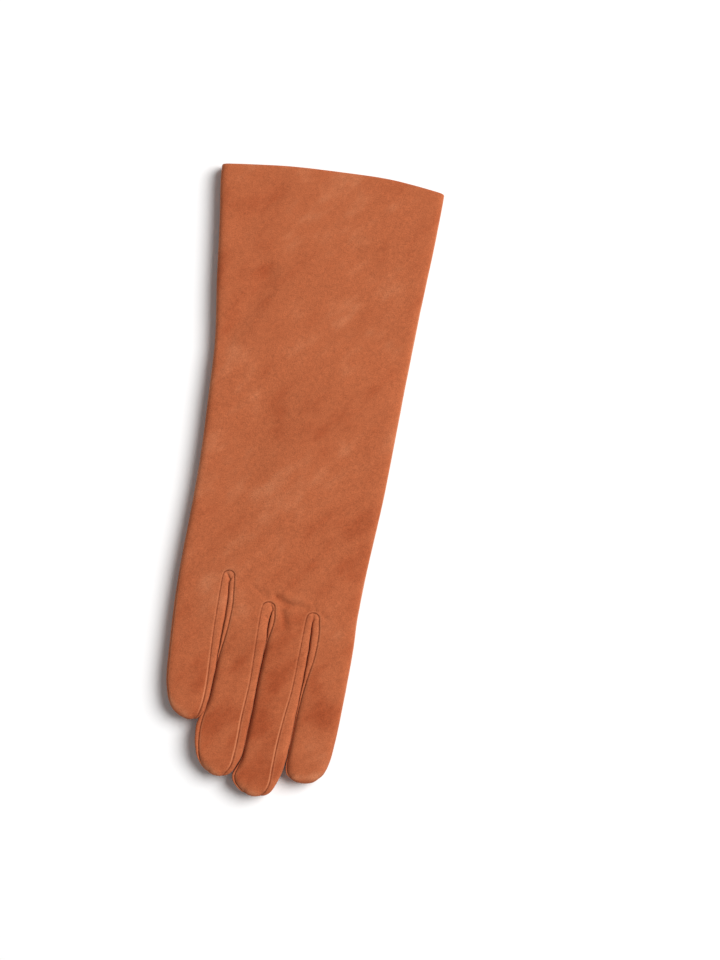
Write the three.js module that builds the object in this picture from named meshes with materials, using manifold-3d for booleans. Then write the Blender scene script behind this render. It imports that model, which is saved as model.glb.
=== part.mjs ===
import * as THREE from 'three';
import { mergeVertices } from 'three/addons/utils/BufferGeometryUtils.js';
import Module from 'manifold-3d';

// Long suede dress glove for the right hand, in millimetres.
// It lies back up with the thumb folded under the palm. +Y runs from the finger tips to the cuff,
// +X to the index side, and the surface that it lies on is z = 0.

const wasm = await Module();
wasm.setup();

// Leather and seams
const WALL = 1.0;
const SEAM_GAP = 0.3;
const HEM_DEPTH = 12;
const HEM_EXTRA = 0.8;

// Thickness of the empty glove as it lies, and how wide its round edges are
const HAND_HEIGHT = 11.0;
const HAND_EDGE = 8;
const FINGER_HEIGHT = 11.0;
const FINGER_EDGE = 6.5;
const TIP_ROUNDING = 8;
const THUMB_HEIGHT = 3.6;
const THUMB_EDGE = 3.5;
const FOLD_LEVEL = 0.48;

// How the palm drapes over the thumb under it, and how far the back bulges there
const PALM_LIFT = THUMB_HEIGHT + SEAM_GAP;
const LIFT_MARGIN = 3.5;
const LIFT_FADE = 11;
const BACK_BULGE = 1.8;
const BULGE_FADE = 26;

// Ends of the hand tube: the cuff, and the round end between the fingers, narrower than they are
const CUFF_MEAN = 142;
const CUFF_SKEW_LENGTH = 40;
const CROTCH_MEAN = -58;
const CROTCH_SKEW_LENGTH = 30;
const CROTCH_ROUNDING = 6;
const TUCK_IN = 1.0;
const TUCK_FROM = -34;
const TUCK_TO = -46;

// The start of each finger lies a little inside the hand and comes up to its surface
const ROOT_SINK = 0.5;
const ROOT_BLEND = 8;
const ROOT_SKIN = 0.06;

// The seams of the side strips are lines from the back to the palm. The cuts along them start
// below the glove and end above it.
const CUT_BOTTOM = -1.5;
const CUT_TOP = HAND_HEIGHT + BACK_BULGE + 2;

// Outline of cuff and hand, seen from above
const HAND_OUTLINE = [
  { y: 144, left: -51.2, right: 51.4 },
  { y: 131, left: -51.5, right: 51.4 },
  { y: 112, left: -48.2, right: 51.0 },
  { y: 85, left: -44.5, right: 50.1 },
  { y: 58, left: -40.4, right: 49.8 },
  { y: 30, left: -38.5, right: 49.6 },
  { y: 2, left: -37.1, right: 49.5 },
  { y: -26, left: -37.0, right: 48.1 },
  { y: -44, left: -37.2, right: 47.2 },
  { y: -64, left: -36.7, right: 47.6 },
];

// Edge of the cuff, and the end of the hand between the fingers on the back and on the palm
const CUFF_LINE = [
  { x: -52, y: 138.0 },
  { x: -35, y: 140.9 },
  { x: -18, y: 143.0 },
  { x: 7, y: 144.3 },
  { x: 34, y: 145.0 },
  { x: 52, y: 143.4 },
];
const CROTCH_LINE = [
  { x: -40, back: -47, palm: -60 },
  { x: -14, back: -46, palm: -60 },
  { x: 6, back: -57, palm: -70 },
  { x: 27, back: -58, palm: -69 },
  { x: 50, back: -56, palm: -66 },
];

// Outlines of the fingers, seen from above, from inside the hand to the tip
const PINKY_OUTLINE = [
  { y: -30, left: -36.4, right: -15.5 },
  { y: -46, left: -37.2, right: -13.9 },
  { y: -64, left: -36.7, right: -12.8 },
  { y: -82, left: -35.6, right: -12.6 },
  { y: -98, left: -34.2, right: -12.9 },
  { y: -104.4, left: -32.7, right: -13.2 },
  { y: -109.6, left: -30.7, right: -14.0 },
  { y: -113.0, left: -27.9, right: -15.9 },
  { y: -114.8, left: -25.0, right: -18.0 },
  { y: -115.5, left: -23.2, right: -20.0 },
];
const RING_OUTLINE = [
  { y: -38, left: -11.5, right: 4.5 },
  { y: -50, left: -12.8, right: 6.8 },
  { y: -64, left: -12.2, right: 7.3 },
  { y: -82, left: -12.0, right: 7.5 },
  { y: -98, left: -12.3, right: 7.4 },
  { y: -104, left: -12.7, right: 7.2 },
  { y: -109.5, left: -13.5, right: 7.1 },
  { y: -115.5, left: -16.5, right: 7.0 },
  { y: -120, left: -16.6, right: 6.9 },
  { y: -125, left: -15.9, right: 6.6 },
  { y: -130.6, left: -14.0, right: 5.7 },
  { y: -134.2, left: -11.7, right: 4.2 },
  { y: -137.2, left: -8.2, right: 1.6 },
  { y: -138.7, left: -5.2, right: -0.9 },
  { y: -139.0, left: -4.2, right: -2.0 },
];
const MIDDLE_OUTLINE = [
  { y: -46, left: 10.0, right: 24.5 },
  { y: -58, left: 8.6, right: 26.8 },
  { y: -70, left: 8.2, right: 27.7 },
  { y: -88, left: 8.1, right: 27.8 },
  { y: -106, left: 7.9, right: 27.3 },
  { y: -120, left: 7.7, right: 27.0 },
  { y: -128, left: 7.2, right: 26.8 },
  { y: -132.5, left: 6.1, right: 26.0 },
  { y: -136.4, left: 4.4, right: 25.0 },
  { y: -139.0, left: 4.6, right: 24.1 },
  { y: -141.6, left: 6.4, right: 22.8 },
  { y: -143.6, left: 9.3, right: 20.6 },
  { y: -144.9, left: 13.4, right: 16.8 },
];
const INDEX_OUTLINE = [
  { y: -36, left: 31.5, right: 46.6 },
  { y: -44, left: 30.5, right: 47.3 },
  { y: -56, left: 28.4, right: 47.1 },
  { y: -70, left: 28.4, right: 48.1 },
  { y: -88, left: 28.5, right: 48.2 },
  { y: -106, left: 28.0, right: 47.9 },
  { y: -116, left: 27.7, right: 47.6 },
  { y: -122, left: 27.5, right: 47.1 },
  { y: -127, left: 27.6, right: 46.1 },
  { y: -129.7, left: 27.9, right: 45.0 },
  { y: -131.9, left: 29.0, right: 43.2 },
  { y: -133.9, left: 31.8, right: 41.2 },
  { y: -135.1, left: 35.0, right: 38.6 },
];

// Outline of the folded thumb, and of the oval hole in the palm that it is sewn into
const THUMB_OUTLINE = [
  { y: 45.6, left: 29.6, right: 33.0 },
  { y: 43.6, left: 24.0, right: 36.6 },
  { y: 38.0, left: 15.6, right: 41.4 },
  { y: 29.6, left: 11.3, right: 44.8 },
  { y: 19.0, left: 9.2, right: 47.0 },
  { y: 7.0, left: 7.9, right: 47.9 },
  { y: -5.0, left: 7.2, right: 47.9 },
  { y: -16.0, left: 5.0, right: 44.9 },
  { y: -26.4, left: 1.4, right: 39.0 },
  { y: -36.0, left: -2.4, right: 33.2 },
  { y: -46.0, left: -6.1, right: 26.6 },
  { y: -54.0, left: -6.6, right: 20.3 },
  { y: -60.0, left: -5.0, right: 15.2 },
  { y: -64.0, left: -1.6, right: 11.4 },
  { y: -66.0, left: 2.4, right: 7.6 },
];
const THUMB_HOLE = [
  { y: 44.6, left: 30.0, right: 32.6 },
  { y: 42.4, left: 24.6, right: 36.4 },
  { y: 36.8, left: 16.4, right: 41.0 },
  { y: 28.6, left: 12.4, right: 44.0 },
  { y: 18.0, left: 10.2, right: 46.2 },
  { y: 6.0, left: 8.9, right: 47.0 },
  { y: -5.0, left: 9.0, right: 46.8 },
  { y: -13.0, left: 12.2, right: 44.0 },
  { y: -19.0, left: 17.6, right: 38.6 },
  { y: -22.0, left: 24.6, right: 31.6 },
];

// Seams of the side strips, one table for each pair of fingers. They run along the back of both
// fingers and along the palm of both fingers, from the crotch to past the tips.
const PINKY_RING_SEAMS = [
  { back: -44.7, backLeft: -15.6, backRight: -12.6, palm: -58.6, palmLeft: -15.4, palmRight: -12.4 },
  { back: -49, backLeft: -16.7, backRight: -11.2, palm: -64, palmLeft: -18.6, palmRight: -10.4 },
  { back: -60, backLeft: -16.6, backRight: -10.4, palm: -73, palmLeft: -19.0, palmRight: -8.6 },
  { back: -82, backLeft: -16.1, backRight: -10.6, palm: -90, palmLeft: -18.4, palmRight: -8.2 },
  { back: -97, backLeft: -15.7, backRight: -11.0, palm: -103, palmLeft: -17.8, palmRight: -8.8 },
  { back: -106, backLeft: -15.6, backRight: -12.0, palm: -109, palmLeft: -17.8, palmRight: -9.8 },
  { back: -113, backLeft: -17.0, backRight: -14.1, palm: -114, palmLeft: -18.6, palmRight: -11.2 },
  { back: -120, backLeft: -20.0, backRight: -14.2, palm: -120, palmLeft: -20.0, palmRight: -11.6 },
  { back: -127, backLeft: -20.0, backRight: -13.6, palm: -127, palmLeft: -20.0, palmRight: -11.2 },
  { back: -133.6, backLeft: -20.0, backRight: -11.5, palm: -133.6, palmLeft: -20.0, palmRight: -9.8 },
  { back: -142, backLeft: -20.0, backRight: -6.4, palm: -142, palmLeft: -20.0, palmRight: -6.0 },
];
const RING_MIDDLE_SEAMS = [
  { back: -55.7, backLeft: 5.2, backRight: 9.0, palm: -68.6, palmLeft: 5.2, palmRight: 9.0 },
  { back: -60, backLeft: 3.8, backRight: 9.6, palm: -73, palmLeft: 2.6, palmRight: 10.6 },
  { back: -70, backLeft: 3.7, backRight: 9.8, palm: -81, palmLeft: 2.2, palmRight: 12.0 },
  { back: -92, backLeft: 3.9, backRight: 9.6, palm: -99, palmLeft: 3.0, palmRight: 12.4 },
  { back: -110, backLeft: 3.2, backRight: 9.4, palm: -113, palmLeft: 2.6, palmRight: 11.8 },
  { back: -126, backLeft: 3.4, backRight: 8.6, palm: -127, palmLeft: 2.8, palmRight: 10.8 },
  { back: -131, backLeft: 2.9, backRight: 7.6, palm: -131, palmLeft: 2.4, palmRight: 10.0 },
  { back: -135.5, backLeft: 1.6, backRight: 5.8, palm: -135.5, palmLeft: 1.2, palmRight: 8.4 },
  { back: -139.2, backLeft: -0.6, backRight: 6.2, palm: -139.2, palmLeft: -0.6, palmRight: 8.4 },
  { back: -142.6, backLeft: -1.0, backRight: 8.6, palm: -142.6, palmLeft: -1.0, palmRight: 9.8 },
  { back: -150, backLeft: -1.0, backRight: 13.0, palm: -150, palmLeft: -1.0, palmRight: 13.0 },
];
const MIDDLE_INDEX_SEAMS = [
  { back: -56.7, backLeft: 26.2, backRight: 29.8, palm: -67.6, palmLeft: 26.4, palmRight: 30.0 },
  { back: -62, backLeft: 24.6, backRight: 30.6, palm: -72, palmLeft: 22.8, palmRight: 30.6 },
  { back: -76, backLeft: 24.3, backRight: 31.2, palm: -83, palmLeft: 20.0, palmRight: 32.0 },
  { back: -94, backLeft: 24.0, backRight: 30.6, palm: -99, palmLeft: 19.4, palmRight: 32.4 },
  { back: -106, backLeft: 22.8, backRight: 30.2, palm: -109, palmLeft: 19.2, palmRight: 31.8 },
  { back: -119, backLeft: 21.9, backRight: 30.0, palm: -120, palmLeft: 19.4, palmRight: 31.0 },
  { back: -130, backLeft: 21.7, backRight: 30.2, palm: -130, palmLeft: 20.2, palmRight: 30.8 },
  { back: -137.4, backLeft: 21.6, backRight: 32.0, palm: -137.4, palmLeft: 20.6, palmRight: 32.0 },
  { back: -141.5, backLeft: 20.5, backRight: 32.0, palm: -141.5, palmLeft: 19.8, palmRight: 32.0 },
  { back: -150, backLeft: 16.0, backRight: 32.0, palm: -150, palmLeft: 16.0, palmRight: 32.0 },
];

// Soft dents of the back: a valley between two points, so wide and so deep
const BACK_DENTS = [
  { fromX: -36, fromY: 57, toX: -21, toY: 91, width: 6, depth: 0.9 },
  { fromX: -37, fromY: 109, toX: -24, toY: 128, width: 6, depth: 0.7 },
  { fromX: 15, fromY: 109, toX: 25, toY: 101, width: 6, depth: 0.4 },
];

// Gathers that run up the back from the ends of the slits
const GATHERS = [
  { fromX: -14.4, fromY: -41, toX: -17.5, toY: -31, width: 2.6, depth: 0.5 },
  { fromX: 6.6, fromY: -49.5, toX: 10.5, toY: -39, width: 2.8, depth: 0.6 },
  { fromX: 4.6, fromY: -49, toX: 0.5, toY: -41, width: 2.4, depth: 0.4 },
  { fromX: 26.8, fromY: -50, toX: 22.5, toY: -40, width: 2.8, depth: 0.6 },
  { fromX: 29.0, fromY: -50, toX: 32.5, toY: -42, width: 2.4, depth: 0.4 },
];

// The pleat that gathers the thumb at its base, pressed into the side that lies on the surface
const THUMB_PLEAT = { fromX: 33.4, fromY: 37.7, toX: 10.6, toY: -5.0, width: 1.6, depth: 0.6 };

// How finely the tubes are divided: shares of a round edge, flats between the edges, steps in length
const EDGE_SHARES = [0, 0.1, 0.42, 1];
const HALF_WIDTH = 0.4998;
const HAND_FLATS = 7;
const FINGER_FLATS = 2;
const THUMB_FLATS = 3;
const CUFF_STEP = 12;
const PALM_START = 23;
const PALM_STEP = 8;
const FINGER_STEP = 11;
const THUMB_STEP = 11;
const HEM_SLOPE = 1;
const CROTCH_STEPS = [6, 2.6, 0.7, 0];
const TIP_STEPS = [6.4, 3.0, 0.8, 0];
const THUMB_END_STEPS = [5, 1.5, 0];
const HOLE_STEPS = 29;
const BLUNT_END = 0.12;

// Where along a fold its groove has a section, its share of depth at the ends, and how far it is
// drawn past the surface that it is cut into
const GROOVE_SECTIONS = [0, 0.12, 0.5, 0.88, 1];
const GROOVE_END = 0.1;
const GROOVE_RIM = 0.15;

// A smooth curve through one column of a table, read at any value of its key column
function column(rows, key, name) {
  const sorted = [...rows].sort((a, b) => a[key] - b[key]);
  const places = sorted.map((row) => row[key]);
  const values = sorted.map((row) => row[name]);
  const curve = new THREE.CubicInterpolant(places, values, 1, new Float32Array(1));
  return (at) => {
    const inside = THREE.MathUtils.clamp(at, places[0], places[places.length - 1]);
    return curve.evaluate(inside)[0];
  };
}

// The rise of a round edge, 0 at the edge and 1 from its full width on
function edgeRise(distance, width) {
  const short = 1 - THREE.MathUtils.clamp(distance / width, 0, 1);
  return Math.sqrt(1 - short * short);
}

// A value that is 1 up to a distance of 0 and fades to nothing over a width
function fade(distance, width) {
  return 1 - THREE.MathUtils.smoothstep(distance, 0, width);
}

function distanceToLine(x, y, fromX, fromY, toX, toY) {
  const point = new THREE.Vector3(x, y, 0);
  const from = new THREE.Vector3(fromX, fromY, 0);
  const line = new THREE.Line3(from, new THREE.Vector3(toX, toY, 0));
  return line.closestPointToPoint(point, true, new THREE.Vector3()).distanceTo(point);
}

const thumbLeft = column(THUMB_OUTLINE, 'y', 'left');
const thumbRight = column(THUMB_OUTLINE, 'y', 'right');
const thumbTop = THUMB_OUTLINE[0].y;
const thumbTip = THUMB_OUTLINE[THUMB_OUTLINE.length - 1].y;

function distanceFromThumb(x, y) {
  const outside = y > thumbTop || y < thumbTip || x < thumbLeft(y) || x > thumbRight(y);
  if (!outside) {
    return 0;
  }
  const distances = THUMB_OUTLINE.slice(1).map((row, i) => {
    const last = THUMB_OUTLINE[i];
    return Math.min(
      distanceToLine(x, y, last.left, last.y, row.left, row.y),
      distanceToLine(x, y, last.right, last.y, row.right, row.y),
    );
  });
  return Math.min(...distances);
}

// Height of the palm side and of the back of the hand at a place seen from above
function palmHeight(x, y) {
  return PALM_LIFT * fade(distanceFromThumb(x, y) - LIFT_MARGIN, LIFT_FADE);
}

function backHeight(x, y) {
  let height = HAND_HEIGHT + BACK_BULGE * fade(distanceFromThumb(x, y), BULGE_FADE);
  for (const dent of BACK_DENTS) {
    const away = distanceToLine(x, y, dent.fromX, dent.fromY, dent.toX, dent.toY);
    height -= dent.depth * Math.exp(-((away / dent.width) ** 2));
  }
  return height;
}

// Places across a tube: close together in its two round edges, even between them
function placesAcross(left, right, edge, flats) {
  const places = EDGE_SHARES.map((share) => left + share * edge);
  for (let i = 1; i < flats; i += 1) {
    places.push(THREE.MathUtils.lerp(left + edge, right - edge, i / flats));
  }
  return [...places, ...EDGE_SHARES.map((share) => right - share * edge).reverse()];
}

// One closed loop round a flat tube: over the top from left to right and back underneath.
// The inset makes the loop of the hollow inside the same tube.
function ring(row, inset) {
  const left = row.left + inset;
  const right = row.right - inset;
  const edge = Math.min(row.edge - inset, (right - left) * HALF_WIDTH);
  const places = placesAcross(left, right, edge, row.flats);
  const shaped = (x, over) => {
    const floor = row.bottom(x) + inset;
    const roof = row.top(x) - inset;
    const level = THREE.MathUtils.lerp(row.bottom(x), row.top(x), FOLD_LEVEL);
    const rise = edgeRise(Math.min(x - left, right - x), edge) * row.rise;
    const z = THREE.MathUtils.lerp(level, over ? roof : floor, rise);
    return new THREE.Vector3(x, row.place(x, z), z);
  };
  const top = places.map((x) => shaped(x, true));
  const underside = places.slice(1, -1).map((x) => shaped(x, false));
  return [...top, ...underside.reverse()];
}

// A closed body through loops that all have the same number of points
function loft(loops) {
  const count = loops[0].length;
  const points = loops.flat();
  const faces = [];
  for (let i = 0; i + 1 < loops.length; i += 1) {
    for (let j = 0; j < count; j += 1) {
      const a = i * count + j;
      const b = i * count + ((j + 1) % count);
      faces.push(a, b, b + count, a, b + count, a + count);
    }
  }
  for (const end of [0, loops.length - 1]) {
    const centre = points.length;
    const total = loops[end].reduce((sum, point) => sum.add(point), new THREE.Vector3());
    points.push(total.divideScalar(count));
    for (let j = 0; j < count; j += 1) {
      const a = end * count + j;
      const b = end * count + ((j + 1) % count);
      faces.push(...(end === 0 ? [b, a, centre] : [a, b, centre]));
    }
  }
  const geometry = new THREE.BufferGeometry().setFromPoints(points);
  geometry.setIndex(faces);
  return geometry;
}

// A closed geometry as a solid that can be joined and cut, turned outside out where it isn't
function solid(geometry) {
  geometry.deleteAttribute('normal');
  geometry.deleteAttribute('uv');
  const merged = mergeVertices(geometry, 1e-5);
  const vertProperties = new Float32Array(merged.attributes.position.array);
  const triVerts = new Uint32Array(merged.index.array);
  const made = new wasm.Manifold(new wasm.Mesh({ numProp: 3, vertProperties, triVerts }));
  if (made.volume() > 0) {
    return made;
  }
  triVerts.reverse();
  return new wasm.Manifold(new wasm.Mesh({ numProp: 3, vertProperties, triVerts }));
}

// The hand and cuff as one flat tube. Its far end is slanted, because the slits between the
// fingers start nearer to the cuff on the back than on the palm.
const handLeft = column(HAND_OUTLINE, 'y', 'left');
const handRight = column(HAND_OUTLINE, 'y', 'right');
const cuffLine = column(CUFF_LINE, 'x', 'y');
const crotchBack = column(CROTCH_LINE, 'x', 'back');
const crotchPalm = column(CROTCH_LINE, 'x', 'palm');

function handPlace(x, y, z) {
  const slant = THREE.MathUtils.clamp(z / HAND_HEIGHT, 0, 1);
  const crotch = THREE.MathUtils.lerp(crotchPalm(x), crotchBack(x), slant);
  const atCuff = fade(CUFF_MEAN - y, CUFF_SKEW_LENGTH) * (cuffLine(x) - CUFF_MEAN);
  const atCrotch = fade(y - CROTCH_MEAN, CROTCH_SKEW_LENGTH) * (crotch - CROTCH_MEAN);
  return y + atCuff + atCrotch;
}

function handRing(y, inset) {
  const tuck = TUCK_IN * fade(y - TUCK_TO, TUCK_FROM - TUCK_TO);
  const inHem = y > CUFF_MEAN - HEM_DEPTH;
  const hem = inHem && inset > 0 ? HEM_EXTRA : 0;
  return ring({
    left: handLeft(y) + tuck + hem,
    right: handRight(y) - tuck - hem,
    edge: HAND_EDGE,
    flats: HAND_FLATS,
    rise: Math.max(edgeRise(y - inset - CROTCH_MEAN, CROTCH_ROUNDING), BLUNT_END),
    bottom: (x) => palmHeight(x, y) + hem,
    top: (x) => backHeight(x, y) - hem,
    place: (x, z) => handPlace(x, y, z),
  }, inset);
}

function handTube(inset) {
  const hemEnd = CUFF_MEAN - HEM_DEPTH;
  const hemStart = hemEnd + HEM_SLOPE;
  const stations = [CUFF_MEAN + 2 * inset, hemStart, hemEnd];
  for (let y = hemEnd - CUFF_STEP; y > PALM_START; y -= CUFF_STEP) {
    stations.push(y);
  }
  for (let y = PALM_START; y > TUCK_TO; y -= PALM_STEP) {
    stations.push(y);
  }
  for (const step of CROTCH_STEPS) {
    stations.push(CROTCH_MEAN + inset + step);
  }
  return solid(loft(stations.map((y) => handRing(y, inset))));
}

// One finger as a flat tube with a round tip
function fingerTube(outline, inset) {
  const left = column(outline, 'y', 'left');
  const right = column(outline, 'y', 'right');
  const root = outline[0].y;
  const tip = outline[outline.length - 1].y + inset;
  const stations = [root];
  for (let y = root - ROOT_BLEND; y > tip + TIP_ROUNDING; y -= FINGER_STEP) {
    stations.push(y);
  }
  stations.push(...TIP_STEPS.map((step) => tip + step));
  const rings = stations.map((y) => {
    const sunk = ROOT_SINK * fade(root - y, ROOT_BLEND) + ROOT_SKIN;
    return ring({
      left: left(y - inset / 2),
      right: right(y - inset / 2),
      edge: FINGER_EDGE,
      flats: FINGER_FLATS,
      rise: Math.max(edgeRise(y - tip, TIP_ROUNDING), BLUNT_END),
      bottom: (x) => palmHeight(x, y) + sunk,
      top: (x) => backHeight(x, y) + FINGER_HEIGHT - HAND_HEIGHT - sunk,
      place: () => y,
    }, inset);
  });
  return solid(loft(rings));
}

// The folded thumb as a flat tube
function thumbTube(inset) {
  const tip = thumbTip + inset;
  const top = thumbTop - inset;
  const stations = THUMB_END_STEPS.map((step) => top - step).reverse();
  for (let y = top - 1.5 * THUMB_STEP; y > tip + THUMB_STEP; y -= THUMB_STEP) {
    stations.push(y);
  }
  stations.push(...THUMB_END_STEPS.map((step) => tip + step));
  const rings = stations.map((y) => ring({
    left: thumbLeft(y),
    right: thumbRight(y),
    edge: THUMB_EDGE,
    flats: THUMB_FLATS,
    rise: Math.max(edgeRise(Math.min(y - tip, top - y), THUMB_EDGE), BLUNT_END),
    bottom: () => 0,
    top: () => THUMB_HEIGHT,
    place: () => y,
  }, inset));
  return solid(loft(rings));
}

// An upright prism on the outline of the thumb hole, drawn in towards its middle by an inset
function holePrism(inset, from, to) {
  const leftSide = THUMB_HOLE.map((row) => new THREE.Vector2(row.left, row.y));
  const rightSide = THUMB_HOLE.map((row) => new THREE.Vector2(row.right, row.y)).reverse();
  const corners = [...leftSide, ...rightSide, leftSide[0]];
  const outline = new THREE.SplineCurve(corners).getPoints(HOLE_STEPS).slice(0, -1);
  const middle = new THREE.Box2().setFromPoints(outline).getCenter(new THREE.Vector2());
  for (const point of outline) {
    point.sub(point.clone().sub(middle).setLength(inset));
  }
  const options = { depth: to - from, bevelEnabled: false };
  const prism = new THREE.ExtrudeGeometry(new THREE.Shape(outline), options);
  return solid(prism.translate(0, 0, from));
}

// The space that a side strip takes out of the two finger walls beside a slit, bounded by the
// lines that join the seams on the back to the seams on the palm
function stripRegion(seams, clearance) {
  const corner = (row, side, height) => {
    const shift = side === 'Left' ? clearance : -clearance;
    const start = row === seams[0] ? clearance : 0;
    const palm = new THREE.Vector3(row[`palm${side}`] + shift, row.palm - start, 0);
    const back = new THREE.Vector3(row[`back${side}`] + shift, row.back - start, HAND_HEIGHT);
    return palm.lerp(back, height / HAND_HEIGHT);
  };
  return solid(loft(seams.map((row) => [
    corner(row, 'Left', CUT_TOP),
    corner(row, 'Right', CUT_TOP),
    corner(row, 'Right', CUT_BOTTOM),
    corner(row, 'Left', CUT_BOTTOM),
  ])));
}

// A three-cornered groove along a fold, deepest in its middle. It is cut down from a surface
// where up is 1, and up into one where up is -1.
function foldGroove(fold, surface, up) {
  const from = new THREE.Vector3(fold.fromX, fold.fromY, 0);
  const to = new THREE.Vector3(fold.toX, fold.toY, 0);
  const upright = new THREE.Vector3(0, 0, 1);
  const across = to.clone().sub(from).normalize().cross(upright);
  const loops = GROOVE_SECTIONS.map((along) => {
    const share = Math.max(Math.sin(Math.PI * along), GROOVE_END);
    const middle = from.clone().lerp(to, along);
    const height = surface(middle.x, middle.y);
    const side = across.clone().multiplyScalar(fold.width / 2 * share);
    return [
      middle.clone().add(side).setZ(height + GROOVE_RIM * up),
      middle.clone().setZ(height - fold.depth * share * up),
      middle.clone().sub(side).setZ(height + GROOVE_RIM * up),
    ];
  });
  return solid(loft(loops));
}

const FINGERS = [PINKY_OUTLINE, RING_OUTLINE, MIDDLE_OUTLINE, INDEX_OUTLINE];
const STRIPS = [
  { name: 'fourchette_pinky_ring', seams: PINKY_RING_SEAMS },
  { name: 'fourchette_ring_middle', seams: RING_MIDDLE_SEAMS },
  { name: 'fourchette_middle_index', seams: MIDDLE_INDEX_SEAMS },
];

function handAndFingers(inset) {
  let body = handTube(inset);
  for (const outline of FINGERS) {
    body = body.add(fingerTube(outline, inset));
  }
  return body;
}

const shell = handAndFingers(0).subtract(handAndFingers(WALL));

// The cuts can leave crumbs thinner than the leather where two seams meet, which are dropped
function largest(body) {
  return body.decompose().sort((a, b) => b.volume() - a.volume())[0];
}

// Back, palm and cuff, with the thumb hole and the slits for the side strips
function makeTrank() {
  let trank = shell.subtract(holePrism(0, CUT_BOTTOM, PALM_LIFT + 2 * WALL));
  for (const strip of STRIPS) {
    trank = trank.subtract(stripRegion(strip.seams, 0));
  }
  for (const gather of GATHERS) {
    trank = trank.subtract(foldGroove(gather, backHeight, 1));
  }
  return largest(trank);
}

// The strip between two fingers: both finger sides and the web at the end of the slit
function makeStrip(strip) {
  return largest(shell.intersect(stripRegion(strip.seams, SEAM_GAP)));
}

// The thumb, with the collar that stands up from it into the hole in the palm
function makeThumb() {
  const inThumb = THUMB_HEIGHT / 2;
  const collarTop = PALM_LIFT + WALL;
  const outer = thumbTube(0).add(holePrism(SEAM_GAP, inThumb, collarTop));
  const inner = thumbTube(WALL).add(holePrism(SEAM_GAP + WALL, inThumb, collarTop + WALL));
  return outer.subtract(inner).subtract(foldGroove(THUMB_PLEAT, () => 0, -1));
}

// Brushed suede, and the brighter suede of the side strips
const SUEDE = { color: 0xb8603a, roughness: 0.95, metalness: 0 };
const STRIP_SUEDE = { color: 0xcd7346, roughness: 0.95, metalness: 0 };

function piece(name, body, look) {
  const made = body.getMesh();
  const geometry = new THREE.BufferGeometry();
  geometry.setAttribute('position', new THREE.BufferAttribute(made.vertProperties, 3));
  geometry.setIndex(new THREE.BufferAttribute(made.triVerts, 1));
  geometry.computeVertexNormals();
  const mesh = new THREE.Mesh(geometry, new THREE.MeshStandardMaterial(look));
  mesh.name = name;
  return mesh;
}

const glove = new THREE.Group();
glove.add(piece('trank', makeTrank(), SUEDE));
glove.add(piece('thumb', makeThumb(), SUEDE));
for (const strip of STRIPS) {
  glove.add(piece(strip.name, makeStrip(strip), STRIP_SUEDE));
}

export default glove;
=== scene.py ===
import bisect
import math

import bmesh
import bpy
from mathutils import Matrix, Vector, geometry, kdtree, noise


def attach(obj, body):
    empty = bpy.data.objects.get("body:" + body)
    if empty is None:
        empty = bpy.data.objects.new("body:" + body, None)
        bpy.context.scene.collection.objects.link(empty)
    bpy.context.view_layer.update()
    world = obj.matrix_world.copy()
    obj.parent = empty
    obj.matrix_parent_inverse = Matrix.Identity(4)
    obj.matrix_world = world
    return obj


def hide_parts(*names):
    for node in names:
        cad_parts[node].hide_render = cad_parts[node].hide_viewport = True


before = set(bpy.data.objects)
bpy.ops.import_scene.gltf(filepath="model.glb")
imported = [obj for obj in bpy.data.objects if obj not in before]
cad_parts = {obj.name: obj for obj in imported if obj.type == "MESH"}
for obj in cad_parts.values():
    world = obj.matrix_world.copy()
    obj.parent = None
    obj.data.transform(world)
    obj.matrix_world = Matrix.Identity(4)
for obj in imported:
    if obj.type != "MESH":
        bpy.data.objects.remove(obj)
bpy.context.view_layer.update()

# Trank: the back, palm and cuff of the glove in one suede skin, folded on the index side and
# closed by a seam on the little-finger side. It has slits between the fingers for the side
# strips, an oval hole in the palm for the thumb, and a hem turned in at the cuff.
# Places in plan are in millimetres: x to the index side, y to the cuff.

MM = 0.001
LEATHER = 0.8
HEIGHT = 11.0
FOLD_LEVEL = 0.48
PALM_LIFT = 3.9
LIFT_MARGIN = 3.5
LIFT_FADE = 11
BACK_BULGE = 1.8
BULGE_FADE = 26
HEM_DEPTH = 12
HEM_FOLD = 0.9

# The two outer edges from the cuff to a finger tip, and the cuff's edge
LEFT_EDGE = [
    (-51.8, 138.1), (-51.2, 131), (-48.2, 112), (-44.5, 85), (-40.4, 58), (-38.5, 30), (-37.1, 2),
    (-37, -26), (-37.2, -44), (-36.7, -64), (-35.6, -82), (-34.2, -98), (-32.7, -104.4),
    (-30.9, -109.2), (-28.5, -112.5), (-25.4, -114.6),
]
RIGHT_EDGE = [
    (51.4, 143.4), (51.4, 131), (51, 112), (50.1, 85), (49.8, 58), (49.6, 30), (49.5, 2),
    (48.3, -26), (47.6, -44), (47.4, -56), (48.1, -70), (48.2, -88), (47.9, -106), (47.6, -116),
    (47, -123), (45.3, -129.2), (43.1, -132.1), (40.7, -134.2), (37.6, -135.2),
]
CUFF_EDGE = [
    (-51.8, 138), (-35, 140.5), (-18, 142.6), (7, 144.2), (24, 144.8), (37, 144.1), (51.4, 142.7),
]

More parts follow.
